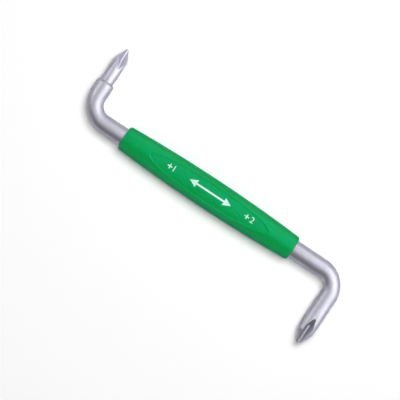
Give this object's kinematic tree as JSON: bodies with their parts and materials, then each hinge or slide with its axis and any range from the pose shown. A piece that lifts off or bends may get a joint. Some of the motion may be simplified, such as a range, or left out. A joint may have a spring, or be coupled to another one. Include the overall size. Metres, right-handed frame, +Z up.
{
  "type": "offset screwdriver",
  "caption": "Z-shaped offset screwdriver: a round chromed steel bar bent at both ends, a slim cross tip on one arm, a larger one on the other, and a barrel grip moulded on its middle.",
  "frame": {"origin": "on the surface that the tool lies on, midway between the two arms, under the axis of the bar", "axes": "+X along the bar from the size 1 end to the size 2 end, +Y the way the size 1 arm points, +Z up from the surface"},
  "size_m": [0.1036, 0.0489, 0.0093],
  "materials": {
    "steel": "satin chrome plate on steel",
    "grip": "satin green moulded plastic",
    "ink": "white pad-printed ink"
  },
  "bodies": {
    "root": {"shank": "steel", "grip": "grip"}
  },
  "joints": []
}
